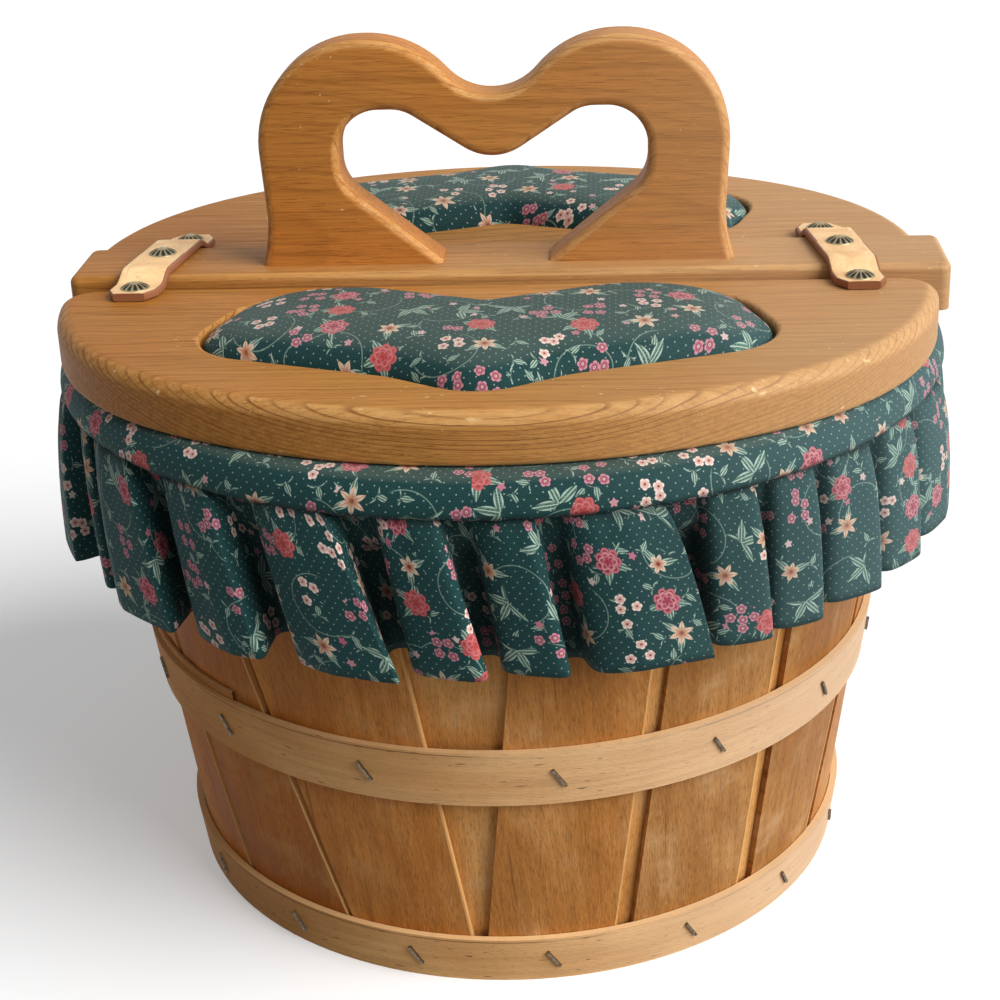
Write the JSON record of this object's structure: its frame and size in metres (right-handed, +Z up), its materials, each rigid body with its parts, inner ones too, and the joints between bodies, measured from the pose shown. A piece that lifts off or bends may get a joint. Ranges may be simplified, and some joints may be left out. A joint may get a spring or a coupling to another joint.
{
  "type": "lidded slat basket",
  "caption": "Round slat basket with hoops, a ruffled cloth liner and a two-flap wooden lid that has heart cushions, leather strap hinges and a heart-shaped handle.",
  "frame": {"origin": "centre of the base, on the floor", "axes": "+Z up, -Y the front of the basket in the picture, +X along the fixed bar"},
  "size_m": [0.3562, 0.3562, 0.3335],
  "materials": {
    "stave_veneer": "varnished veneer",
    "hoop_veneer": "varnished veneer, paler at the edges",
    "lid_wood": "satin varnished softwood",
    "plywood": "bare plywood",
    "calico": "dark green cotton with a small floral print",
    "elastic": "woven elastic",
    "foam": "soft foam",
    "leather": "natural vegetable-tanned leather",
    "antique_brass": "antique bronze plating",
    "staple_steel": "dull wire",
    "screw_steel": "zinc plated"
  },
  "bodies": {
    "basket": {"stave_01": "stave_veneer", "stave_02": "stave_veneer", "stave_03": "stave_veneer", "stave_04": "stave_veneer", "stave_05": "stave_veneer", "stave_06": "stave_veneer", "stave_07": "stave_veneer", "stave_08": "stave_veneer", "stave_09": "stave_veneer", "stave_10": "stave_veneer", "stave_11": "stave_veneer", "stave_12": "stave_veneer", "stave_13": "stave_veneer", "stave_14": "stave_veneer", "stave_15": "stave_veneer", "stave_16": "stave_veneer", "inner_staves": "stave_veneer", "bottom_board": "plywood", "bottom_inner_hoop": "hoop_veneer", "bottom_hoop": "hoop_veneer", "middle_hoop": "hoop_veneer", "rim_hoop": "hoop_veneer", "rim_inner_hoop": "hoop_veneer", "bottom_staples": "staple_steel", "middle_staples": "staple_steel", "rim_staples": "staple_steel", "liner_bag": "calico", "liner_band": "calico", "rim_elastic": "elastic", "ruffle": "calico", "block_left": "lid_wood", "block_right": "lid_wood", "block_screws": "screw_steel", "bar": "lid_wood", "bar_screws": "screw_steel", "handle": "lid_wood", "handle_screws": "screw_steel", "strap_left": "leather", "strap_right": "leather", "bar_tacks": "antique_brass"},
    "front_flap": {"front_flap": "lid_wood", "front_cushion_cover": "calico", "front_cushion_pad": "foam", "front_cushion_board": "plywood", "front_board_screws": "screw_steel", "front_tacks": "antique_brass"},
    "back_flap": {"back_flap": "lid_wood", "back_cushion_cover": "calico", "back_cushion_pad": "foam", "back_cushion_board": "plywood", "back_board_screws": "screw_steel", "back_tacks": "antique_brass"}
  },
  "joints": [
    {"name": "front_flap_hinge", "type": "hinge", "parent": "basket", "child": "front_flap", "pos_m": [0, -0.023, 0.2435], "axis": [-1, 0, 0], "range_deg": [0, 92], "deforming": ["strap_left", "strap_right"]},
    {"name": "back_flap_hinge", "type": "hinge", "parent": "basket", "child": "back_flap", "pos_m": [0, 0.023, 0.2435], "axis": [1, 0, 0], "range_deg": [0, 92], "deforming": ["strap_left", "strap_right"]}
  ]
}
